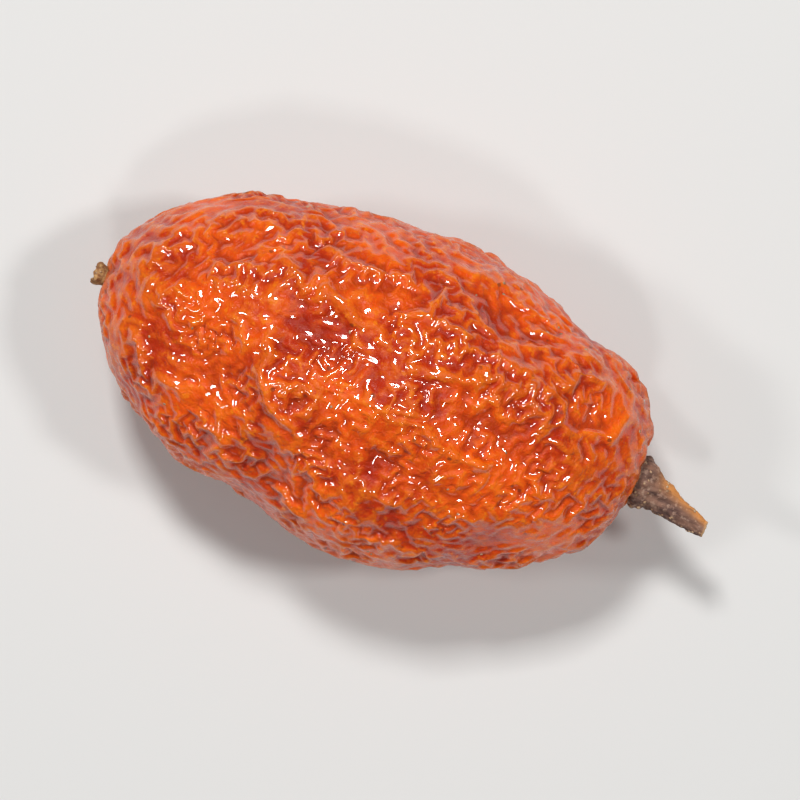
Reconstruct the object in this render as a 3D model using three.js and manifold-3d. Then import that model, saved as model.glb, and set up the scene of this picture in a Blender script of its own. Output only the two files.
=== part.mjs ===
// A dried sea buckthorn berry: the shrunken fruit, the stub of its stalk and the dry remnant of its flower.
// Millimetres, +Z up. +X runs along the fruit towards the stalk, and the fruit rests on a small flat spot at z = 0.

import * as THREE from 'three';
import Module from 'manifold-3d';
import { mergeVertices } from 'three/addons/utils/BufferGeometryUtils.js';

const wasm = await Module();
wasm.setup();

// ---- driving dimensions ----

const FRUIT_LENGTH = 10.3;
const FRUIT_WIDTH = 6.0;
const RISE_ABOVE_MIDDLE = 2.5; // highest point of the back above the widest level
const DROP_BELOW_MIDDLE = 2.45; // lowest point of the belly below it, before the resting spot is pressed flat
const PRESSED_FLAT = 0.14; // how much of the belly the resting spot takes away
const SKIN_DETAIL = 14; // subdivisions of the skin's triangles
const OUTLINE_STEPS = 720; // points worked out along the outline
const WELD = 1e-5; // points this close are one corner

const STALK_CENTRE = [4.95, 0.2, -0.15]; // where the stalk leaves the fruit
const TIP_CENTRE = [-5.2, -0.28, 0.05]; // where the flower sat
const SOCKET_GAP = 0.05; // between the fruit and what sits in it

// The fruit seen from above, anticlockwise from beside the stalk: blunt at the stalk, fullest past the middle.
const OUTLINE = [
  [5.0, 0.5],
  [4.5, 1.75],
  [3.5, 2.23],
  [2.8, 2.28],
  [2.3, 2.54],
  [0.7, 2.84],
  [-1.3, 2.67],
  [-3.5, 2.05],
  [-4.8, 1.05],
  [-5.25, -0.2],
  [-4.8, -1.3],
  [-3.9, -2.15],
  [-2.5, -2.76],
  [-1.3, -2.82],
  [0.2, -3.15],
  [1.4, -3.0],
  [3.3, -2.15],
  [4.3, -1.5],
  [4.85, -0.6],
];

// Broad hollows left by drying: the middle of each, how far it reaches along the fruit and across it, its turn about
// the vertical in degrees, and its depth. Heights count from the fruit's widest level.
const HOLLOWS = [
  { at: [-1.1, 0.3, 2.4], along: 0.9, across: 0.55, turn: 10, depth: 0.24 },
  { at: [-2.8, -1.05, 1.9], along: 0.95, across: 0.75, turn: -20, depth: 0.22 },
  { at: [1.7, 1.8, 1.9], along: 1.0, across: 0.55, turn: -12, depth: 0.16 },
  { at: [2.3, -0.1, 2.2], along: 1.2, across: 0.45, turn: 4, depth: 0.16 },
  { at: [0.1, -1.3, 2.2], along: 1.1, across: 0.5, turn: -24, depth: 0.18 },
  { at: [3.6, 1.0, 1.5], along: 0.55, across: 0.42, turn: -20, depth: 0.14 },
  { at: [-3.6, 1.0, 1.6], along: 0.8, across: 0.5, turn: 30, depth: 0.12 },
  { at: [-1.0, -2.1, 1.7], along: 0.9, across: 0.5, turn: 0, depth: 0.1 },
  { at: [2.4, -1.9, -1.6], along: 1.2, across: 0.6, turn: 0, depth: 0.24 },
  { at: [-2.0, -1.9, -1.8], along: 1.2, across: 0.6, turn: 0, depth: 0.26 },
  { at: [-0.2, 2.2, -1.7], along: 1.3, across: 0.65, turn: 0, depth: 0.26 },
  { at: [-3.4, 1.4, -1.4], along: 0.9, across: 0.6, turn: 0, depth: 0.2 },
  { at: [3.1, 1.6, -1.6], along: 0.9, across: 0.55, turn: 0, depth: 0.18 },
  { at: [-3.2, 0.3, -1.9], along: 1.0, across: 0.6, turn: 15, depth: 0.3 },
  { at: [3.0, -0.5, -2.0], along: 1.1, across: 0.6, turn: -10, depth: 0.3 },
];

// Raised folds of the skin between the hollows, each from one end to the other.
const FOLDS = [
  { from: [-2.5, 1.25, 2.0], to: [-1.75, 0.98, 2.2], width: 0.3, height: 0.1 },
  { from: [-1.6, 1.05, 2.2], to: [-0.6, 0.6, 2.4], width: 0.3, height: 0.12 },
  { from: [0.9, 1.5, 2.1], to: [2.5, 1.35, 1.9], width: 0.32, height: 0.12 },
  { from: [1.1, -0.7, 2.4], to: [2.4, -0.6, 2.2], width: 0.3, height: 0.12 },
  { from: [0.6, 0.5, 2.45], to: [1.7, 0.65, 2.3], width: 0.3, height: 0.1 },
  { from: [2.8, 0.7, 2.0], to: [3.3, 1.5, 1.5], width: 0.32, height: 0.1 },
  { from: [-1.9, -0.4, 2.3], to: [-1.2, -1.3, 2.1], width: 0.35, height: 0.12 },
  { from: [-2.4, 0.9, -2.0], to: [-0.6, 1.2, -2.2], width: 0.35, height: 0.12 },
  { from: [0.8, -1.7, -1.9], to: [2.4, -1.4, -1.8], width: 0.35, height: 0.12 },
];

// The stalk from its root inside the fruit to its cut end: centre, half width (Y), half thickness (Z).
const STALK_RINGS = [
  { at: [-0.6, 0.06, 0], half: [0.3, 0.26] },
  { at: [-0.2, 0.05, 0], half: [0.4, 0.33] },
  { at: [0.1, 0.04, 0], half: [0.46, 0.36] },
  { at: [0.38, 0.0, -0.01], half: [0.36, 0.29] },
  { at: [0.72, -0.09, 0.0], half: [0.27, 0.23] },
  { at: [1.08, -0.18, 0.03], half: [0.21, 0.2] },
  { at: [1.36, -0.24, 0.06], half: [0.16, 0.17] },
  { at: [1.46, -0.26, 0.07], half: [0.12, 0.13] },
];
const STALK_SIDES = 16;
const STALK_RIBS = 4; // lengthways ribs left as the stalk dried
const STALK_RIB_DEPTH = 0.07;
const STALK_TWIST = 0.25; // turn of the ribs from ring to ring, in radians

// The flower remnant from its root to its rim, as distance out of the fruit and radius, and its hollow middle.
const TIP_RINGS = [
  { out: -0.3, radius: 0.13 },
  { out: -0.05, radius: 0.19 },
  { out: 0.08, radius: 0.21 },
  { out: 0.17, radius: 0.2 },
  { out: 0.18, radius: 0.12 },
  { out: 0.13, radius: 0.05 },
];
const TIP_SIDES = 16;
const TIP_LOBES = 4;
const TIP_LOBE_DEPTH = 0.16;

const UP = new THREE.Vector3(0, 0, 1);

const SKIN = { color: 0xc9441a, roughness: 0.38, metalness: 0 };
const STALK = { color: 0x7d6552, roughness: 0.8, metalness: 0 };
const FLOWER = { color: 0x9c7a4a, roughness: 0.85, metalness: 0 };

// ---- solids ----

// The corners of a geometry with every shared point merged into one.
function welded(geometry) {
  const bare = geometry.clone();
  bare.deleteAttribute('normal');
  bare.deleteAttribute('uv');
  return mergeVertices(bare, WELD);
}

function toSolid(geometry) {
  const shape = welded(geometry);
  const vertProperties = new Float32Array(shape.attributes.position.array);
  const triVerts = new Uint32Array(shape.index.array);
  return new wasm.Manifold(new wasm.Mesh({ numProp: 3, vertProperties, triVerts }));
}

function toGeometry(solid) {
  const mesh = solid.getMesh();
  const geometry = new THREE.BufferGeometry();
  geometry.setAttribute('position', new THREE.BufferAttribute(new Float32Array(mesh.vertProperties), 3));
  geometry.setIndex(new THREE.BufferAttribute(new Uint32Array(mesh.triVerts), 1));
  return geometry;
}

// A closed solid through rings of equally many points, each ring anticlockwise as seen from the last one.
function loft(rings) {
  const sides = rings[0].length;
  const points = rings.flat();
  const triangles = [];
  for (let r = 0; r + 1 < rings.length; r += 1) {
    for (let s = 0; s < sides; s += 1) {
      const near = r * sides + s;
      const nearNext = r * sides + ((s + 1) % sides);
      triangles.push(near, nearNext, nearNext + sides);
      triangles.push(near, nearNext + sides, near + sides);
    }
  }
  const last = (rings.length - 1) * sides;
  const firstMiddle = points.push(middleOf(rings[0])) - 1;
  const lastMiddle = points.push(middleOf(rings[rings.length - 1])) - 1;
  for (let s = 0; s < sides; s += 1) {
    const next = (s + 1) % sides;
    triangles.push(firstMiddle, next, s);
    triangles.push(lastMiddle, last + s, last + next);
  }
  const geometry = new THREE.BufferGeometry().setFromPoints(points);
  geometry.setIndex(triangles);
  return geometry;
}

function middleOf(ring) {
  const sum = ring.reduce((total, point) => total.add(point), new THREE.Vector3());
  return sum.divideScalar(ring.length);
}

// ---- the fruit ----

// Distance from the middle of the fruit to its outline, for a direction in the XY plane.
function outlineReach() {
  const corners = OUTLINE.map(([x, y]) => new THREE.Vector3(x, y, 0));
  const curve = new THREE.CatmullRomCurve3(corners, true, 'centripetal');
  const rim = curve.getPoints(OUTLINE_STEPS).map((p) => ({ angle: Math.atan2(p.y, p.x), reach: Math.hypot(p.x, p.y) }));
  rim.sort((a, b) => a.angle - b.angle);
  return (angle) => {
    const after = rim.findIndex((p) => p.angle >= angle);
    const next = rim[after <= 0 ? 0 : after];
    const before = rim[after <= 0 ? rim.length - 1 : after - 1];
    const turn = 2 * Math.PI;
    const span = (next.angle - before.angle + turn) % turn || 1;
    const part = ((angle - before.angle + turn) % turn) / span;
    return before.reach + (next.reach - before.reach) * part;
  };
}

// The smooth, plump form: a ball stretched to the outline and to the fruit's height.
function plumpPoint(direction, reachAt) {
  const halfLength = FRUIT_LENGTH / 2;
  const halfWidth = FRUIT_WIDTH / 2;
  const flat = new THREE.Vector2(direction.x * halfLength, direction.y * halfWidth);
  const angle = Math.atan2(flat.y, flat.x);
  const ovalReach = 1 / Math.hypot(Math.cos(angle) / halfLength, Math.sin(angle) / halfWidth);
  flat.multiplyScalar(reachAt(angle) / ovalReach);
  const height = direction.z > 0 ? RISE_ABOVE_MIDDLE : DROP_BELOW_MIDDLE;
  return new THREE.Vector3(flat.x, flat.y, direction.z * height);
}

// How far a point is pushed out (or in, below zero) by the hollows and folds of the dried skin.
function driedRelief(point) {
  let relief = 0;
  for (const { at, along, across, turn, depth } of HOLLOWS) {
    const offset = new THREE.Vector3(...at).negate().add(point);
    offset.applyAxisAngle(UP, -THREE.MathUtils.degToRad(turn));
    relief -= depth * Math.exp(-((offset.x / along) ** 2) - (offset.y ** 2 + offset.z ** 2) / across ** 2);
  }
  for (const { from, to, width, height } of FOLDS) {
    const crest = new THREE.Line3(new THREE.Vector3(...from), new THREE.Vector3(...to));
    const nearest = crest.closestPointToPoint(point, true, new THREE.Vector3());
    relief += height * Math.exp(-((point.distanceTo(nearest) / width) ** 2));
  }
  return relief;
}

function fruitGeometry() {
  const reachAt = outlineReach();
  const geometry = welded(new THREE.IcosahedronGeometry(1, SKIN_DETAIL));
  const position = geometry.attributes.position;
  const direction = new THREE.Vector3();
  for (let i = 0; i < position.count; i += 1) {
    direction.fromBufferAttribute(position, i).normalize();
    const point = plumpPoint(direction, reachAt);
    const outward = new THREE.Vector3(
      direction.x / FRUIT_LENGTH,
      direction.y / FRUIT_WIDTH,
      direction.z / (RISE_ABOVE_MIDDLE + DROP_BELOW_MIDDLE),
    ).normalize();
    point.addScaledVector(outward, driedRelief(point));
    point.z = Math.max(point.z, PRESSED_FLAT - DROP_BELOW_MIDDLE);
    position.setXYZ(i, point.x, point.y, point.z);
  }
  return geometry;
}

// ---- the stalk and the flower remnant; grow widens them, to cut the sockets they sit in ----

function stalkGeometry(grow) {
  const rings = STALK_RINGS.map(({ at, half }, r) => {
    const ring = [];
    const shift = r === 0 ? -grow : 0;
    for (let s = 0; s < STALK_SIDES; s += 1) {
      const angle = (s / STALK_SIDES) * 2 * Math.PI;
      const rib = 1 + STALK_RIB_DEPTH * Math.cos(STALK_RIBS * angle + STALK_TWIST * r);
      ring.push(
        new THREE.Vector3(
          STALK_CENTRE[0] + at[0] + shift,
          STALK_CENTRE[1] + at[1] + Math.cos(angle) * (half[0] * rib + grow),
          STALK_CENTRE[2] + at[2] + Math.sin(angle) * (half[1] * rib + grow),
        ),
      );
    }
    return ring;
  });
  return loft(rings);
}

function tipGeometry(grow) {
  const rings = TIP_RINGS.map(({ out, radius }, r) => {
    const ring = [];
    const shift = r === 0 ? -grow : 0;
    for (let s = 0; s < TIP_SIDES; s += 1) {
      const angle = -(s / TIP_SIDES) * 2 * Math.PI;
      const lobe = 1 + TIP_LOBE_DEPTH * Math.cos(TIP_LOBES * angle) * (out > 0 ? 1 : 0);
      ring.push(
        new THREE.Vector3(
          TIP_CENTRE[0] - out - shift,
          TIP_CENTRE[1] + Math.cos(angle) * (radius * lobe + grow),
          TIP_CENTRE[2] + Math.sin(angle) * (radius * lobe + grow),
        ),
      );
    }
    return ring;
  });
  return loft(rings);
}

// The fruit with a socket for the stalk and one for the flower remnant.
function fruitWithSockets() {
  let fruit = toSolid(fruitGeometry());
  fruit = fruit.subtract(toSolid(stalkGeometry(SOCKET_GAP)));
  fruit = fruit.subtract(toSolid(tipGeometry(SOCKET_GAP)));
  return toGeometry(fruit);
}

function piece(name, geometry, finish) {
  geometry.computeVertexNormals();
  const mesh = new THREE.Mesh(geometry, new THREE.MeshStandardMaterial(finish));
  mesh.name = name;
  return mesh;
}

// ---- the whole berry, standing on z = 0 with the middle of its box at x = y = 0 ----

const berry = new THREE.Group();
berry.add(piece('berry', fruitWithSockets(), SKIN));
berry.add(piece('stalk', stalkGeometry(0), STALK));
berry.add(piece('blossom_tip', tipGeometry(0), FLOWER));

const box = new THREE.Box3().setFromObject(berry, true);
const middle = box.getCenter(new THREE.Vector3());
berry.position.set(-middle.x, -middle.y, -box.min.z);
berry.updateMatrixWorld(true);

export default berry;
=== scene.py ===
"""A dried sea buckthorn berry: its wrinkled skin, scaly stalk stub and dry flower remnant."""

import math

import bpy
import numpy as np
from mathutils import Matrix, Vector
from mathutils.bvhtree import BVHTree


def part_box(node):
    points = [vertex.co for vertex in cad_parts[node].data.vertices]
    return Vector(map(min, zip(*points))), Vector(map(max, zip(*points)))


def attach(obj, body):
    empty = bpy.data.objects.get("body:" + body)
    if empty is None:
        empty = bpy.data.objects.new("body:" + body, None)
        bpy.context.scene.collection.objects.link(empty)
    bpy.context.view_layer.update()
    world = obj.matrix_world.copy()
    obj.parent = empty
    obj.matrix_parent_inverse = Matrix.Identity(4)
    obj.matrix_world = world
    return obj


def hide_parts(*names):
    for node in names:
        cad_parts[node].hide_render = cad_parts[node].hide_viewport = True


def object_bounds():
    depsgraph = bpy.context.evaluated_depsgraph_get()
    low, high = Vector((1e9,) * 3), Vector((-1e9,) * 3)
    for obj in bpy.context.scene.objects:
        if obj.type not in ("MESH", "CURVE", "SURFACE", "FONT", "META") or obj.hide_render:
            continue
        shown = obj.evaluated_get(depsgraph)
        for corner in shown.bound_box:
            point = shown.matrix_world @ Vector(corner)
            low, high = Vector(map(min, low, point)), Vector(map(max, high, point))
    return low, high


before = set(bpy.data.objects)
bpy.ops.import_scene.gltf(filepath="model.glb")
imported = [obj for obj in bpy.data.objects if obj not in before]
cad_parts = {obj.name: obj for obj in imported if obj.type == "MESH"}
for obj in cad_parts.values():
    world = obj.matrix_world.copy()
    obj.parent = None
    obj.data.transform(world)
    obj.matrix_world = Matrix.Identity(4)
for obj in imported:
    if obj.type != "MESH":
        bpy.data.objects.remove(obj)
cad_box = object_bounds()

MM = 0.001
SEED = 11

# --------------------------------------------------------------------------------------------------
# The berry's own measures, in millimetres in the frame: x towards the stalk, z up
# --------------------------------------------------------------------------------------------------


def box_mm(node):
    """Lowest and highest corner of a construction piece, in millimetres."""
    low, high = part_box(node)
    return np.array(low) / MM, np.array(high) / MM


fruit_low, fruit_high = box_mm("berry")
stalk_low, stalk_high = box_mm("stalk")
tip_low, tip_high = box_mm("blossom_tip")
fruit_middle = (fruit_low + fruit_high) / 2
fruit_half = (fruit_high - fruit_low) / 2


def spot(along, across):
    """A place on the fruit seen from above: along -1 (flower end) to 1 (stalk end), across -1 to 1."""
    return fruit_middle[:2] + fruit_half[:2] * np.array([along, across])


def ripples(points, wavelength, seed, waves=40):
    """A smooth random field over the points, about -1 to 1: waves in every direction."""
    rng = np.random.default_rng(seed)
    heading = rng.normal(size=(waves, 3))
    heading /= np.linalg.norm(heading, axis=1)[:, None]
    pitch = 2 * math.pi / (wavelength * rng.uniform(0.75, 1.35, waves))
    phase = rng.uniform(0, 2 * math.pi, waves)
    return np.cos(points @ (heading * pitch[:, None]).T + phase).sum(1) * math.sqrt(2 / waves) * 0.6


def soft_step(low, high, value):
    t = np.clip((value - low) / (high - low), 0, 1)
    return t * t * (3 - 2 * t)


# --------------------------------------------------------------------------------------------------
# The skin: a closed sheet laid over the fruit, which wrinkles as the flesh under it shrinks
# --------------------------------------------------------------------------------------------------

CELLS = (44, 25, 25)  # squares along, across and up, at the first level
SIDEWAYS_HOLD = 0.3  # how firmly the flesh holds the sheet against sliding
TIME_STEP = 0.055
KEPT_SPEED = 0.9  # the share of its speed that the sheet keeps at each step
SMOOTHING = 0.28
SOCKET_MARGIN = 0.12  # how far past a socket the sheet is drawn straight


def box_lattice(cells):
    """Points of a lattice on the faces of a cube of half size 1, and its squares, facing out."""
    counts = np.array(cells)
    squares = []
    for axis in range(3):
        u, v = (axis + 1) % 3, (axis + 2) % 3
        i, j = np.meshgrid(np.arange(counts[u]), np.arange(counts[v]), indexing="ij")
        for end in (0, counts[axis]):
            ring = []
            for di, dj in ((0, 0), (1, 0), (1, 1), (0, 1)):
                corner = np.zeros((i.size, 3), int)
                corner[:, axis] = end
                corner[:, u] = i.ravel() + di
                corner[:, v] = j.ravel() + dj
                ring.append(corner)
            squares.append(np.stack(ring if end else ring[::-1], axis=1))
    corners = np.concatenate(squares).reshape(-1, 3)
    points, index = np.unique(corners, axis=0, return_inverse=True)
    return points / counts * 2 - 1, index.reshape(-1, 4)


def sheet_mesh(name, points, faces):
    """A plain mesh from points in millimetres."""
    mesh = bpy.data.meshes.new(name)
    mesh.from_pydata((points * MM).tolist(), [], faces.tolist())
    mesh.update()
    return mesh


def mesh_points(mesh):
    flat = np.empty(len(mesh.vertices) * 3)
    mesh.vertices.foreach_get("co", flat)
    return flat.reshape(-1, 3) / MM


def mesh_squares(mesh):
    flat = np.empty(len(mesh.loops), int)
    mesh.loops.foreach_get("vertex_index", flat)
    return flat.reshape(-1, 4)


def laid_over_fruit(cells):
    """The first level of the skin, laid over the fruit of the construction."""
    cube, squares = box_lattice(cells)
    ball = np.tan(cube * math.pi / 4)
    ball /= np.linalg.norm(ball, axis=1)[:, None]
    direction = ball * fruit_half
    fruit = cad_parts["berry"].data
    corners = [v.co / MM for v in fruit.vertices]
    tree = BVHTree.FromPolygons(corners, [list(p.vertices) for p in fruit.polygons])
    centre = Vector(fruit_middle)
    points = np.empty_like(ball)
    for i, d in enumerate(direction):
        hit = tree.ray_cast(centre, Vector(d).normalized())[0]
        points[i] = hit if hit else centre + Vector(d)
    return points, squares


class Skin:
    """The sheet's points and what holds them: neighbours, rest lengths and the flesh beneath."""

    def __init__(self, points, squares):
        self.points = points
        self.squares = squares
        sides = self.neighbours(squares, ((0, 1), (1, 2), (2, 3), (3, 0)))
        corners = self.neighbours(squares, ((0, 2), (1, 3)))
        self.links = np.concatenate([sides, corners], axis=1)
        # These shares make the sheet bend alike in every direction.
        self.share = np.array([4 / 6] * sides.shape[1] + [1 / 6] * corners.shape[1])
        self.grip = np.array([1.0] * sides.shape[1] + [0.7] * corners.shape[1])

    def neighbours(self, squares, pairs):
        """For each point the points it is linked with, filled up with itself."""
        links = np.concatenate([squares[:, list(pair)] for pair in pairs])
        links = np.unique(np.concatenate([links, links[:, ::-1]]), axis=0)
        first = np.searchsorted(links[:, 0], np.arange(len(self.points)))
        rank = np.arange(len(links)) - first[links[:, 0]]
        table = np.tile(np.arange(len(self.points))[:, None], (1, rank.max() + 1))
        table[links[:, 0], rank] = links[:, 1]
        return table

    def spread(self, field):
        """How much the points around each point differ from it."""
        return np.einsum("l,plk->pk", self.share, field[self.links]) - self.share.sum() * field

    def smoothed(self, field, rounds, where=1.0):
        flat = field.reshape(len(field), -1)
        for _ in range(rounds):
            flat = flat + SMOOTHING * where * self.spread(flat)
        return flat.reshape(field.shape)

    def normals(self):
        corner = self.points[self.squares]
        facing = np.cross(corner[:, 2] - corner[:, 0], corner[:, 3] - corner[:, 1])
        total = np.zeros_like(self.points)
        for k in range(4):
            for axis in range(3):
                total[:, axis] += np.bincount(self.squares[:, k], facing[:, axis], len(self.points))
        return total / np.linalg.norm(total, axis=1)[:, None]

    def lift(self, height):
        self.points = self.points + self.normals() * height[:, None]

    def wrinkle(self, room, along, stiffness, hold, sink, rounds):
        """Wrinkles the sheet over the flesh as it shrinks.

        room is how much longer each link grows than its place, along how much of that it keeps
        lengthways, stiffness how broad the folds are, hold how firmly the sheet keeps its length,
        and sink how much harder the flesh resists a hollow than a fold.
        """
        base = self.points.copy()
        normal = self.normals()
        gap = base[self.links] - base[:, None]
        length = np.linalg.norm(gap, axis=2)
        real = length > 0
        length[~real] = 1
        lengthways = (gap[:, :, 0] / length) ** 2
        keep = (along[:, None] + along[self.links]) / 2
        grows = (room[:, None] + room[self.links]) / 2 * (1 - (1 - keep) * lengthways)
        pull = hold * self.grip * real / length
        speed = np.zeros_like(base)
        for turn in range(rounds):
            grown = min(1.0, 2 * turn / rounds)
            rest = length * (1 + grows * grown)
            gap = self.points[self.links] - self.points[:, None]
            now = np.sqrt(np.einsum("plk,plk->pl", gap, gap)) + ~real
            force = np.einsum("pl,plk->pk", pull * (1 - rest / now), gap)
            moved = self.points - base
            rise = np.einsum("pk,pk->p", moved, normal)
            force -= stiffness * self.spread(self.spread(moved))
            force -= (np.where(rise < 0, sink, 1.0) * rise)[:, None] * normal
            force -= SIDEWAYS_HOLD * (moved - rise[:, None] * normal)
            speed = KEPT_SPEED * speed + TIME_STEP * force
            self.points = self.points + TIME_STEP * speed
            np.maximum(self.points[:, 2], 0, out=self.points[:, 2])

    def refined(self):
        """The same sheet with each square made four, by one round of subdivision."""
        mesh = sheet_mesh("finer", self.points, self.squares)
        holder = bpy.data.objects.new("finer", mesh)
        bpy.context.scene.collection.objects.link(holder)
        finer = holder.modifiers.new("finer", "SUBSURF")
        finer.levels = finer.render_levels = 1
        finer.use_limit_surface = False
        made = holder.evaluated_get(bpy.context.evaluated_depsgraph_get())
        result = bpy.data.meshes.new_from_object(made)
        skin = Skin(mesh_points(result), mesh_squares(result))
        bpy.data.objects.remove(holder)
        bpy.data.meshes.remove(mesh)
        bpy.data.meshes.remove(result)
        return skin


def bridge_sockets(skin):
    """Draws the sheet straight across the sockets of the stalk and of the flower."""
    points = skin.points
    over_socket = np.zeros(len(points), bool)
    for low, high in ((stalk_low, stalk_high), (tip_low, tip_high)):
        middle = (low + high)[1:] / 2
        half = (high - low)[1:] / 2 + SOCKET_MARGIN
        beside = points[:, 0] > low[0] - 2 * SOCKET_MARGIN
        beside &= points[:, 0] < high[0] + 2 * SOCKET_MARGIN
        over_socket |= beside & (np.abs(points[:, 1:] - middle) < half).all(1)
    skin.points = skin.smoothed(points, 250, over_socket[:, None])


# Where the back of the fruit is calm: place along and across, reach in millimetres, how calm.
CALM_SPOTS = (
    ((-0.19, 0.15), (0.50, 0.32), 0.85),
    ((-0.62, 0.04), (0.60, 0.42), 0.75),
    ((0.70, -0.45), (1.10, 0.42), 0.7),
    ((0.76, -0.05), (0.80, 0.40), 0.5),
)
STRETCHED_SPOT = ((0.37, 0.70), (1.0, 0.5))  # only fine lines along the fruit show here

# Sharp creases of the back, each through its places along and across.
CREASES = (
    ((-0.46, 0.49), (-0.39, 0.44), (-0.32, 0.37)),
    ((-0.25, 0.41), (-0.16, 0.36), (-0.10, 0.26), (-0.08, 0.18)),
    ((0.21, 0.68), (0.28, 0.57), (0.37, 0.52), (0.51, 0.61)),
    ((0.13, 0.19), (0.22, 0.23), (0.34, 0.27)),
    ((0.24, -0.10), (0.34, -0.16), (0.47, -0.16)),
    ((0.58, 0.38), (0.65, 0.54), (0.76, 0.57)),
    ((0.86, 0.44), (0.83, 0.29), (0.70, 0.24)),
    ((-0.30, 0.62), (-0.16, 0.60), (-0.02, 0.66)),
    ((0.02, 0.44), (0.10, 0.52), (0.12, 0.66)),
    ((-0.78, -0.30), (-0.70, -0.44), (-0.56, -0.46)),
    ((-0.34, -0.18), (-0.26, -0.34), (-0.14, -0.42)),
)
CREASE_HEIGHT = 0.075
CREASE_WIDTH = 0.085

# Painted light and painted shade on the back: where it is painted brighter orange, and where deeper
# red: place, reach in millimetres.
PAINTED_LIGHT_SPOTS = (
    ((-0.66, 0.08), (0.70, 0.45)),
    ((-0.02, -0.20), (0.60, 0.40)),
    ((0.60, -0.22), (0.90, 0.45)),
    ((0.72, 0.38), (0.60, 0.45)),
    ((-0.45, 0.55), (0.60, 0.35)),
)
PAINTED_SHADE_SPOTS = (
    ((-0.66, -0.27), (0.55, 0.35)),
    ((-0.35, -0.62), (1.00, 0.30)),
    ((0.17, 0.04), (0.55, 0.25)),
    ((-0.22, 0.18), (0.50, 0.30)),
    ((0.30, -0.72), (1.10, 0.30)),
)


def on_back(points):
    return soft_step(fruit_middle[2] + 0.2, fruit_middle[2] + 1.0, points[:, 2])


def near_spot(points, place, reach):
    """1 in the middle of a spot of the back, falling to 0 past its reach."""
    offset = (points[:, :2] - spot(*place)) / reach
    return np.exp(-((offset**2).sum(1) ** 1.5)) * on_back(points)


def near_crease(points, places):
    """1 on a crease, falling to 0 beside it and towards its ends."""
    flat = points[:, :2]
    best = np.full(len(points), np.inf)
    corners = [spot(*place) for place in places]
    for start, end in zip(corners, corners[1:]):
        run = end - start
        share = np.clip((flat - start) @ run / (run @ run), 0, 1)
        best = np.minimum(best, np.linalg.norm(flat - start - share[:, None] * run, axis=1))
    return np.exp(-((best / CREASE_WIDTH) ** 2)) * on_back(points)


def calm(points):
    """How calm the skin is, 0 to 1: in the spots of the back, and here and there all over."""
    field = 0.35 * soft_step(0.3, 0.9, ripples(points, 2.6, SEED + 20))
    for place, reach, strength in CALM_SPOTS:
        field = np.maximum(field, strength * near_spot(points, place, reach))
    return field


def lengthways_only(points):
    """Where the folds run along the fruit: gathered at both ends, and in the stretched spot."""
    ends = soft_step(0.72, 1.0, np.abs(points[:, 0] - fruit_middle[0]) / fruit_half[0])
    return np.maximum(0.75 * ends, near_spot(points, *STRETCHED_SPOT))


def grow_skin():
    """The whole skin, wrinkled at three sizes: broad lumps, folds, and a fine crinkle on them."""
    skin = Skin(*laid_over_fruit(CELLS))
    bridge_sockets(skin)
    skin.points = skin.smoothed(skin.points, 5)
    skin.lift(0.025 * ripples(skin.points, 1.5, SEED + 1) - 0.03)
    even = np.ones(len(skin.points))
    skin.wrinkle(room=0.022 * even, along=0.8 * even, stiffness=3.5, hold=18, sink=1.2, rounds=120)

    skin = skin.refined()
    loose = 1 - calm(skin.points)
    lumps = 0.012 * ripples(skin.points, 0.8, SEED + 2)
    skin.lift(loose * (lumps + 0.010 * ripples(skin.points, 0.42, SEED + 3)))
    for places in CREASES:
        broken = 0.8 + 0.5 * ripples(skin.points, 0.5, SEED + 7)
        skin.lift(CREASE_HEIGHT * near_crease(skin.points, places) * broken)
    room = 0.026 * np.clip(0.7 + 1.3 * ripples(skin.points, 1.3, SEED + 4), 0, 2) * loose
    along = 1 - lengthways_only(skin.points)
    skin.wrinkle(room, along, stiffness=0.45, hold=5, sink=1.6, rounds=130)

    skin = skin.refined()
    quiet = calm(skin.points)
    skin.lift((1 - 0.8 * quiet) * 0.007 * ripples(skin.points, 0.2, SEED + 5))
    uneven = np.clip(0.45 + 1.2 * ripples(skin.points, 0.9, SEED + 6), 0.05, 1.6)
    room = 0.1 * uneven * (1 - 0.75 * quiet)
    along = 1 - lengthways_only(skin.points)
    skin.wrinkle(room, along, stiffness=0.45, hold=3.5, sink=1.5, rounds=130)
    return skin


def keep_field(mesh, name, field):
    """Stores one number for each point of a mesh, for its material to read."""
    layer = mesh.attributes.new(name, "FLOAT", "POINT")
    layer.data.foreach_set("value", np.asarray(field, np.float32))


def new_piece(name, mesh, replaced):
    """A finished mesh as a piece of the berry, in place of the construction piece of the same part."""
    mesh.polygons.foreach_set("use_smooth", np.ones(len(mesh.polygons), bool))
    piece = bpy.data.objects.new(name, mesh)
    bpy.context.scene.collection.objects.link(piece)
    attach(piece, "root")
    if replaced:
        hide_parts(replaced)
    return piece


def broad_normals(skin):
    """The way the fruit faces under its wrinkles."""
    facing = skin.smoothed(skin.normals(), 60)
    return facing / np.linalg.norm(facing, axis=1)[:, None]


CREST_RANGE = 0.07  # from the bottom of a crinkle to its crest
RISE_RANGE = 0.12  # from the bottom of a hollow to the top of a fold


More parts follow.
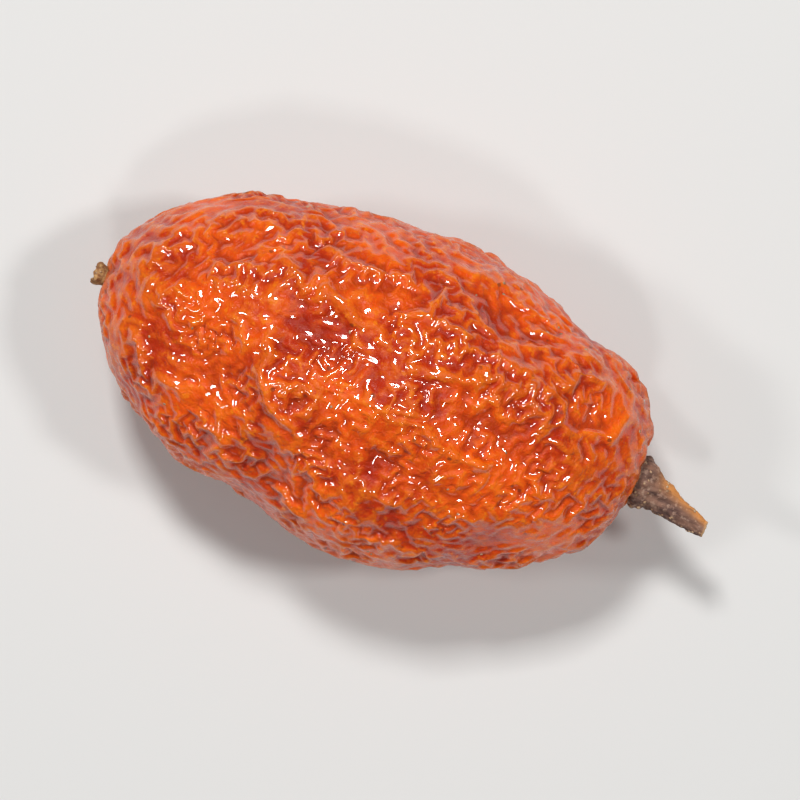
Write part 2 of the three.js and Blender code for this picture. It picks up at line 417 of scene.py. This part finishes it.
def wrinkled_skin():
    skin = grow_skin()
    level = skin.smoothed(skin.points, 40)
    broad = skin.smoothed(level, 160)
    normal = skin.normals()
    mesh = sheet_mesh("wrinkled_skin", skin.points, skin.squares)
    crest = ((skin.points - level) * normal).sum(1) / CREST_RANGE
    rise = ((level - broad) * normal).sum(1) / RISE_RANGE
    keep_field(mesh, "crest", np.clip(0.5 + crest, 0, 1))
    keep_field(mesh, "rise", np.clip(0.5 + rise, 0, 1))
    # Painted light and painted shade on the back, stored for the finish: brighter spots as painted
    # light, deeper red spots as painted shade.
    painted_light = sum(near_spot(skin.points, *spot_place) for spot_place in PAINTED_LIGHT_SPOTS)
    painted_shade = sum(near_spot(skin.points, *spot_place) for spot_place in PAINTED_SHADE_SPOTS)
    keep_field(mesh, "painted_light_and_shade", np.clip(0.5 + 0.5 * (painted_light - painted_shade) * on_back(skin.points), 0, 1))
    stalk_root = np.array([fruit_high[0], *(stalk_low + stalk_high)[1:] / 2])
    flower_root = np.array([fruit_low[0], *(tip_low + tip_high)[1:] / 2])
    to_stalk = np.linalg.norm(skin.points - stalk_root, axis=1)
    to_tip = np.linalg.norm(skin.points - flower_root, axis=1)
    near_ends = np.maximum(1 - soft_step(0.3, 1.0, to_stalk), 1 - soft_step(0.1, 0.6, to_tip))
    keep_field(mesh, "near_ends", near_ends)
    keep_field(mesh, "waxy", 0.5 + 0.5 * soft_step(0.1, 0.8, broad_normals(skin)[:, 2]))
    keep_field(mesh, "scaly", 0.03 + 0.97 * near_ends**2)
    mesh.materials.append(skin_finish())
    return new_piece("wrinkled_skin", mesh, "berry")


# --------------------------------------------------------------------------------------------------
# Finishes
# --------------------------------------------------------------------------------------------------

PER_MM = 1000  # pattern scales count repeats in a metre


class Value:
    """A socket of a finish, on which plain arithmetic works."""

    def __init__(self, finish, socket):
        self.finish = finish
        self.socket = socket

    def math(self, operation, *others):
        values = dict(enumerate((self, *others)))
        return self.finish.node("ShaderNodeMath", {"operation": operation}, values)

    def __add__(self, other):
        return self.math("ADD", other)

    __radd__ = __add__

    def __mul__(self, other):
        return self.math("MULTIPLY", other)

    __rmul__ = __mul__

    def __sub__(self, other):
        return self.math("SUBTRACT", other)

    def __rsub__(self, other):
        return self * -1 + other

    def step(self, low, high):
        """0 below low, 1 above high and smooth between."""
        settings = {"interpolation_type": "SMOOTHSTEP"}
        sockets = {"Value": self, "From Min": low, "From Max": high}
        return self.finish.node("ShaderNodeMapRange", settings, sockets)


class Finish:
    """A material being mixed from its node tree."""

    def __init__(self, name, **constants):
        self.material = bpy.data.materials.new(name)
        self.material.use_nodes = True
        self.tree = self.material.node_tree
        self.shader = self.tree.nodes["Principled BSDF"]
        for socket, value in constants.items():
            self.shader.inputs[socket.replace("_", " ")].default_value = value
        self.place = self.node("ShaderNodeTexCoord", out="Object")

    def node(self, kind, settings=(), sockets=(), out=0):
        """Adds a node: its settings first, then the values or links of its sockets."""
        node = self.tree.nodes.new(kind)
        for name, value in dict(settings).items():
            setattr(node, name, value)
        for name, value in dict(sockets).items():
            if isinstance(value, Value):
                self.tree.links.new(value.socket, node.inputs[name])
            else:
                node.inputs[name].default_value = value
        return Value(self, node.outputs[out])

    def noise(self, repeats, detail=2.0, roughness=0.5, distortion=0.0, place=None):
        sockets = {"Vector": place or self.place, "Scale": repeats * PER_MM, "Detail": detail}
        sockets.update({"Roughness": roughness, "Distortion": distortion})
        return self.node("ShaderNodeTexNoise", (), sockets)

    def cells(self, repeats):
        sockets = {"Vector": self.place, "Scale": repeats * PER_MM}
        return self.node("ShaderNodeTexVoronoi", {"feature": "F1"}, sockets)

    def stored(self, name):
        return self.node("ShaderNodeAttribute", {"attribute_name": name}, (), "Fac")

    def mix(self, amount, under, over):
        """Two colours mixed; the node's colour sockets are its seventh and eighth."""
        colours = {6: (*under, 1) if isinstance(under, tuple) else under}
        colours[7] = (*over, 1) if isinstance(over, tuple) else over
        return self.node("ShaderNodeMix", {"data_type": "RGBA"}, {0: amount, **colours}, 2)

    def bump(self, height, depth_mm, under=None):
        sockets = {"Height": height, "Distance": depth_mm * MM, "Strength": 1.0}
        if under:
            sockets["Normal"] = under
        return self.node("ShaderNodeBump", (), sockets)

    def wear(self, **varying):
        """Links what changes over the surface to the shader."""
        for socket, value in varying.items():
            self.tree.links.new(value.socket, self.shader.inputs[socket.replace("_", " ")])
        return self.material


def skin_finish():
    """Glossy orange-red skin: darker red in its hollows, partly its own pigment and partly painted
    shade, lighter orange on its crests, partly its own tone and partly painted highlight, with dark
    specks.
    """
    finish = Finish(
        "orange-red berry skin",
        IOR=1.45,
        Subsurface_Weight=0.15,
        Subsurface_Radius=(1.0, 0.3, 0.1),
        Subsurface_Scale=0.45 * MM,
        Specular_IOR_Level=0.15,
        Coat_Roughness=0.055,
        Coat_IOR=1.65,
    )
    crest = finish.stored("crest")
    rise = finish.stored("rise")
    near_ends = finish.stored("near_ends")
    painted_light_and_shade = finish.stored("painted_light_and_shade")
    patches = finish.noise(0.55, 3, 0.6, 0.4)
    mottle = finish.noise(5, 3, 0.6)
    grain = finish.noise(18, 2, 0.6)
    # Random patches of the skin's own tone, with the spots of painted light and painted shade added on
    # top.
    tone_with_painted_light_and_shade = (patches + 0.22 * painted_light_and_shade).step(0.50, 0.72)
    colour = finish.mix(tone_with_painted_light_and_shade, (0.50, 0.027, 0.001), (0.82, 0.088, 0.001))
    colour = finish.mix(mottle.step(0.4, 0.7) * 0.5, colour, (0.86, 0.145, 0.002))
    # Darker in the hollows of the folds and near black at the bottoms of the crinkles: partly the
    # skin's own pigment, partly painted shade.
    colour = finish.mix((1 - rise).step(0.45, 0.95) * 0.45, colour, (0.42, 0.026, 0.002))
    colour = finish.mix((1 - crest).step(0.5, 0.95) * 0.55, colour, (0.28, 0.008, 0.001))
    # Lighter orange on the crinkles' crests: partly the skin's own tone, partly a painted highlight.
    colour = finish.mix(crest.step(0.6, 0.95) * 0.4, colour, (0.90, 0.200, 0.008))
    colour = finish.mix(near_ends * (0.35 + 0.5 * mottle), colour, (0.30, 0.085, 0.022))
    golden = finish.noise(8, 2).step(0.58, 0.68) * crest.step(0.35, 0.7)
    colour = finish.mix(golden * 0.45, colour, (0.92, 0.25, 0.005))
    specks = (1 - finish.cells(3.2).step(0.10, 0.17)) * finish.noise(1.3, 1).step(0.52, 0.6)
    colour = finish.mix(specks * 0.7, colour, (0.20, 0.035, 0.010))
    gloss = 0.24 + 0.22 * mottle - 0.06 * crest + 0.3 * near_ends
    relief = finish.bump(finish.noise(7, 2, 0.5, 0.9), 0.042)
    relief = finish.bump(finish.cells(4.2), 0.03, relief)
    relief = finish.bump(grain, 0.006, relief)
    wax = finish.stored("waxy") * (1 - 0.7 * near_ends)
    return finish.wear(Base_Color=colour, Roughness=gloss, Coat_Weight=wax, Normal=relief)


def stalk_finish():
    """Dull brown, paler in lengthways fibres and on the mealy bumps, with an orange-tan edge."""
    finish = Finish("dry stalk", Coat_Weight=0.0)
    along = finish.node("ShaderNodeMapping", (), {"Vector": finish.place, "Scale": (0.2, 1.0, 1.0)})
    fibres = finish.noise(9, 3, 0.6, 0.3, place=along)
    meal = finish.noise(11, 3, 0.6)
    colour = finish.mix(fibres.step(0.35, 0.65), (0.085, 0.038, 0.030), (0.24, 0.120, 0.078))
    colour = finish.mix(meal.step(0.5, 0.68) * 0.7, colour, (0.42, 0.265, 0.190))
    colour = finish.mix(finish.stored("edge") * fibres.step(0.2, 0.5), colour, (0.62, 0.240, 0.055))
    colour = finish.mix(finish.stored("cut") * 0.8, colour, (0.58, 0.340, 0.150))
    relief = finish.bump(fibres, 0.02)
    relief = finish.bump(meal, 0.014, relief)
    return finish.wear(Base_Color=colour, Roughness=0.6 + 0.3 * meal, Normal=relief)


def flower_finish():
    """Dry tan tissue, darker inside the cup."""
    finish = Finish("dry flower", Coat_Weight=0.0)
    meal = finish.noise(12, 3, 0.6)
    colour = finish.mix(meal.step(0.4, 0.65), (0.26, 0.105, 0.035), (0.52, 0.300, 0.115))
    colour = finish.mix(finish.stored("cup"), colour, (0.07, 0.026, 0.012))
    return finish.wear(Base_Color=colour, Roughness=0.65 + 0.25 * meal, Normal=finish.bump(meal, 0.012))


def scale_finish():
    """The tiny silvery-tan scales that dust the stalk and both ends of the fruit."""
    finish = Finish("mealy scales", Coat_Weight=0.0)
    tone = finish.noise(6, 2)
    colour = finish.mix(tone.step(0.4, 0.62), (0.32, 0.175, 0.090), (0.54, 0.360, 0.210))
    return finish.wear(Base_Color=colour, Roughness=0.5 + 0.3 * tone)


# --------------------------------------------------------------------------------------------------
# The stalk and the flower remnant: tubes along the fruit, with wrinkled walls
# --------------------------------------------------------------------------------------------------

# The stalk: distance from its root, offsets across and up from its box's middle, half width,
# half thickness.
STALK_STATIONS = (
    (0.00, 0.02, 0.00, 0.28, 0.24),
    (0.40, 0.01, 0.00, 0.38, 0.31),
    (0.70, 0.00, 0.00, 0.44, 0.34),
    (0.98, -0.04, -0.01, 0.35, 0.27),
    (1.32, -0.13, 0.00, 0.26, 0.21),
    (1.68, -0.22, 0.03, 0.20, 0.18),
    (1.98, -0.29, 0.06, 0.155, 0.155),
    (2.04, -0.30, 0.07, 0.14, 0.14),
    (2.05, -0.30, 0.07, 0.09, 0.09),
    (2.03, -0.30, 0.07, 0.03, 0.03),
)
# The flower remnant: distance from its root, radius; the last stations go down into its cup.
TIP_STATIONS = (
    (0.00, 0.12),
    (0.25, 0.17),
    (0.38, 0.20),
    (0.46, 0.195),
    (0.475, 0.17),
    (0.44, 0.13),
    (0.41, 0.07),
    (0.43, 0.03),
)


def smooth_stations(stations, count):
    """The stations joined by a smooth line, with count rings evenly shared between them."""
    table = np.array(stations)
    at = np.linspace(0, len(table) - 1, count)
    before = np.clip(at.astype(int), 0, len(table) - 2)
    t = (at - before)[:, None]
    padded = np.concatenate([2 * table[:1] - table[1:2], table, 2 * table[-1:] - table[-2:-1]])
    p0, p1, p2, p3 = (padded[before + k] for k in range(4))
    bend = (2 * p0 - 5 * p1 + 4 * p2 - p3) * t**2 + (3 * (p1 - p2) + p3 - p0) * t**3
    return 0.5 * (2 * p1 + (p2 - p0) * t + bend)


def tube(name, rings, heading):
    """A closed mesh through rings in order; heading is 1 where they run along +x, -1 along -x."""
    count, around = rings.shape[:2]
    index = np.arange(count * around).reshape(count, around)
    beside = np.roll(index, -1, axis=1)
    walls = np.stack([index[:-1], beside[:-1], beside[1:], index[1:]], axis=-1).reshape(-1, 4)
    points = np.concatenate([rings.reshape(-1, 3), rings[[0, -1]].mean(1)])
    root, top = len(points) - 2, len(points) - 1
    faces = [*walls.tolist()]
    faces += [(root, b, a) for a, b in zip(index[0].tolist(), beside[0].tolist())]
    faces += [(top, a, b) for a, b in zip(index[-1].tolist(), beside[-1].tolist())]
    if heading < 0:
        faces = [face[::-1] for face in faces]
    mesh = bpy.data.meshes.new(name)
    mesh.from_pydata((points * MM).tolist(), [], faces)
    mesh.update()
    return mesh


def ringed(centre, half, angle):
    """Rings round the centres, flattened to their half width and half thickness."""
    round_it = np.stack([np.zeros_like(angle), np.cos(angle), np.sin(angle)], axis=-1)
    return centre[:, None] + round_it[None] * np.stack([half[:, 0], *half.T], axis=-1)[:, None]


def scaly_stalk():
    middle = (stalk_low + stalk_high) / 2
    run = smooth_stations(STALK_STATIONS, 110)
    angle = np.linspace(0, 2 * math.pi, 88, endpoint=False)
    centre = np.stack([stalk_low[0] + run[:, 0], middle[1] + run[:, 1], middle[2] + run[:, 2]], axis=-1)
    rings = ringed(centre, run[:, 3:], angle)
    out = rings - centre[:, None]
    flat = rings.reshape(-1, 3)
    fibres = ripples(flat * (0.18, 1, 1), 0.22, SEED + 30).reshape(rings.shape[:2])
    meal = ripples(flat, 0.13, SEED + 31).reshape(rings.shape[:2])
    swell = 1 + 0.13 * fibres + 0.05 * meal
    rings = centre[:, None] + out * swell[:, :, None]
    cut = soft_step(2.0, 2.05, run[:, 0])[:, None] * np.ones_like(angle)
    cut[-25:] = 1
    rings[:, :, 0] += 0.02 * meal * cut
    rings[:, :, 0] = np.minimum(rings[:, :, 0], stalk_high[0])
    mesh = tube("scaly_stalk", rings, 1)
    edge = np.cos(angle - 0.5)[None] ** 5 * soft_step(0.8, 1.2, run[:, 0])[:, None]
    keep_field(mesh, "edge", [*np.clip(edge * 1.2, 0, 1).ravel(), 0, 0])
    keep_field(mesh, "cut", [*cut.ravel(), 0, 1])
    keep_field(mesh, "scaly", [*(np.ones_like(cut) - 0.8 * cut).ravel(), 0, 0])
    mesh.materials.append(stalk_finish())
    return new_piece("scaly_stalk", mesh, "stalk")


def blossom_cup():
    middle = (tip_low + tip_high) / 2
    run = smooth_stations(TIP_STATIONS, 46)
    angle = np.linspace(0, 2 * math.pi, 72, endpoint=False)
    centre = np.tile(middle, (len(run), 1))
    centre[:, 0] = tip_high[0] - run[:, 0]
    rings = ringed(centre, run[:, [1, 1]], angle)
    ragged = ripples(np.stack([np.cos(angle), np.sin(angle), 0 * angle], axis=-1), 0.9, SEED + 40)
    shown = soft_step(0.25, 0.42, run[:, 0])[:, None]
    meal = ripples(rings.reshape(-1, 3), 0.12, SEED + 41).reshape(rings.shape[:2])
    swell = 1 + shown * (0.16 * ragged[None] + 0.06 * meal)
    rings = centre[:, None] + (rings - centre[:, None]) * swell[:, :, None]
    rings[:, :, 0] += shown * (0.03 * np.abs(ragged[None]) + 0.008 * meal)
    rings[:, :, 0] = np.maximum(rings[:, :, 0], tip_low[0])
    mesh = tube("blossom_cup", rings, -1)
    inside = np.zeros(rings.shape[:2])
    inside[-16:] = np.linspace(0, 1, 16)[:, None]
    keep_field(mesh, "cup", [*inside.ravel(), 0, 1])
    keep_field(mesh, "scaly", [*(1 - inside).ravel(), 0, 0])
    mesh.materials.append(flower_finish())
    return new_piece("blossom_cup", mesh, "blossom_tip")


# --------------------------------------------------------------------------------------------------
# Tiny flat scales scattered over a host, thickest where its field "scaly" is highest
# --------------------------------------------------------------------------------------------------


def scale_tree():
    tree = bpy.data.node_groups.new("scattered scales", "GeometryNodeTree")
    interface = tree.interface
    interface.new_socket("Host", in_out="INPUT", socket_type="NodeSocketGeometry")
    interface.new_socket("Scales per square metre", in_out="INPUT", socket_type="NodeSocketFloat")
    interface.new_socket("Scale radius", in_out="INPUT", socket_type="NodeSocketFloat")
    interface.new_socket("Seed", in_out="INPUT", socket_type="NodeSocketInt")
    interface.new_socket("Finish", in_out="INPUT", socket_type="NodeSocketMaterial")
    interface.new_socket("Scales", in_out="OUTPUT", socket_type="NodeSocketGeometry")

    def add(kind, settings=(), **sockets):
        node = tree.nodes.new(kind)
        for name, value in dict(settings).items():
            setattr(node, name, value)
        for name, value in sockets.items():
            socket = node.inputs[name.replace("_", " ")]
            if isinstance(value, bpy.types.NodeSocket):
                tree.links.new(value, socket)
            else:
                socket.default_value = value
        return node

    given = add("NodeGroupInput").outputs
    scaly = add("GeometryNodeInputNamedAttribute", {"data_type": "FLOAT"}, Name="scaly").outputs[0]
    density = add("ShaderNodeMath", {"operation": "MULTIPLY"})
    tree.links.new(scaly, density.inputs[0])
    tree.links.new(given["Scales per square metre"], density.inputs[1])
    spread = {"Mesh": given["Host"], "Density": density.outputs[0], "Seed": given["Seed"]}
    points = add("GeometryNodeDistributePointsOnFaces", **spread)
    disc = add("GeometryNodeMeshIcoSphere", Radius=1.0, Subdivisions=1)
    shape = add("FunctionNodeRandomValue", {"data_type": "FLOAT_VECTOR"}, Seed=given["Seed"])
    shape.inputs["Min"].default_value = (0.6, 0.6, 0.16)
    shape.inputs["Max"].default_value = (1.2, 1.0, 0.30)
    size = add("ShaderNodeVectorMath", {"operation": "SCALE"}, Scale=given["Scale radius"])
    tree.links.new(shape.outputs[0], size.inputs["Vector"])
    laid = {"Points": points.outputs["Points"], "Instance": disc.outputs["Mesh"]}
    lay = add("GeometryNodeInstanceOnPoints", **laid)
    tree.links.new(points.outputs["Rotation"], lay.inputs["Rotation"])
    tree.links.new(size.outputs[0], lay.inputs["Scale"])
    solid = add("GeometryNodeRealizeInstances", Geometry=lay.outputs["Instances"])
    coated = {"Geometry": solid.outputs["Geometry"], "Material": given["Finish"]}
    worn = add("GeometryNodeSetMaterial", **coated)
    result = add("NodeGroupOutput")
    tree.links.new(worn.outputs["Geometry"], result.inputs["Scales"])
    return tree


def scatter_scales(name, host, per_mm2, radius, finish, seed):
    tree = scale_tree()
    holder = bpy.data.objects.new(name + "_host", host.data.copy())
    bpy.context.scene.collection.objects.link(holder)
    spreader = holder.modifiers.new("scales", "NODES")
    spreader.node_group = tree
    values = {"Scales per square metre": per_mm2 * PER_MM**2, "Scale radius": radius * MM}
    values.update({"Seed": seed, "Finish": finish})
    for socket in tree.interface.items_tree:
        if socket.name in values:
            spreader[socket.identifier] = values[socket.name]
    made = holder.evaluated_get(bpy.context.evaluated_depsgraph_get())
    mesh = bpy.data.meshes.new_from_object(made)
    mesh.name = name
    bpy.data.objects.remove(holder)
    return new_piece(name, mesh, None)


skin_piece = wrinkled_skin()
stalk_piece = scaly_stalk()
cup_piece = blossom_cup()
mealy = scale_finish()
scatter_scales("stalk_scales", stalk_piece, 32, 0.036, mealy, SEED)
scatter_scales("cup_scales", cup_piece, 45, 0.035, mealy, SEED + 1)
scatter_scales("skin_scales", skin_piece, 9, 0.035, mealy, SEED + 2)

# --------------------------------------------------------------------------------------------------
# Floor, light and camera
# --------------------------------------------------------------------------------------------------


def area_light(name, place, width, power):
    """A square soft light at a place in millimetres, facing the berry's middle."""
    data = bpy.data.lights.new(name, "AREA")
    data.size = width * MM
    data.energy = power
    light = bpy.data.objects.new(name, data)
    light.location = Vector(place) * MM
    aim = Vector(fruit_middle) * MM - light.location
    light.rotation_euler = aim.to_track_quat("-Z", "Y").to_euler()
    bpy.context.scene.collection.objects.link(light)
    return light


floor_mesh = bpy.data.meshes.new("floor")
floor_corners = [(-0.5, -0.5, 0), (0.5, -0.5, 0), (0.5, 0.5, 0), (-0.5, 0.5, 0)]
floor_mesh.from_pydata(floor_corners, [], [(0, 1, 2, 3)])
floor = bpy.data.objects.new("floor", floor_mesh)
bpy.context.scene.collection.objects.link(floor)
floor_mat = bpy.data.materials.new("pale floor")
floor_mat.use_nodes = True
floor_mat.node_tree.nodes["Principled BSDF"].inputs["Base Color"].default_value = (0.68, 0.675, 0.66, 1)
floor_mat.node_tree.nodes["Principled BSDF"].inputs["Roughness"].default_value = 0.7
floor_mesh.materials.append(floor_mat)

area_light("key", (-45, 60, 130), 25, 0.14)
area_light("window", (70, 35, 120), 18, 0.06)
area_light("side", (-90, -35, 110), 18, 0.036)
area_light("low", (20, -70, 125), 16, 0.03)
area_light("overhead", (0, 0, 170), 90, 0.008)

world = bpy.data.worlds.new("soft room")
world.use_nodes = True
world.node_tree.nodes["Background"].inputs["Color"].default_value = (0.95, 0.97, 1, 1)
world.node_tree.nodes["Background"].inputs["Strength"].default_value = 0.075
bpy.context.scene.world = world
bpy.context.scene.view_settings.view_transform = "Standard"

CAMERA_TURN = 24  # degrees by which the camera is turned about its own axis
camera_data = bpy.data.cameras.new("camera")
camera_data.lens = 180
camera_data.clip_start = 0.005
camera_data.clip_end = 10
camera = bpy.data.objects.new("camera", camera_data)
low, high = cad_box
view_width = 14.2 * MM
camera.location = (
    (low.x + high.x) / 2,
    (low.y + high.y) / 2,
    (low.z + high.z) / 2 + view_width * camera_data.lens / camera_data.sensor_width,
)
camera.rotation_euler = (0, 0, math.radians(CAMERA_TURN))
bpy.context.scene.collection.objects.link(camera)
bpy.context.scene.camera = camera
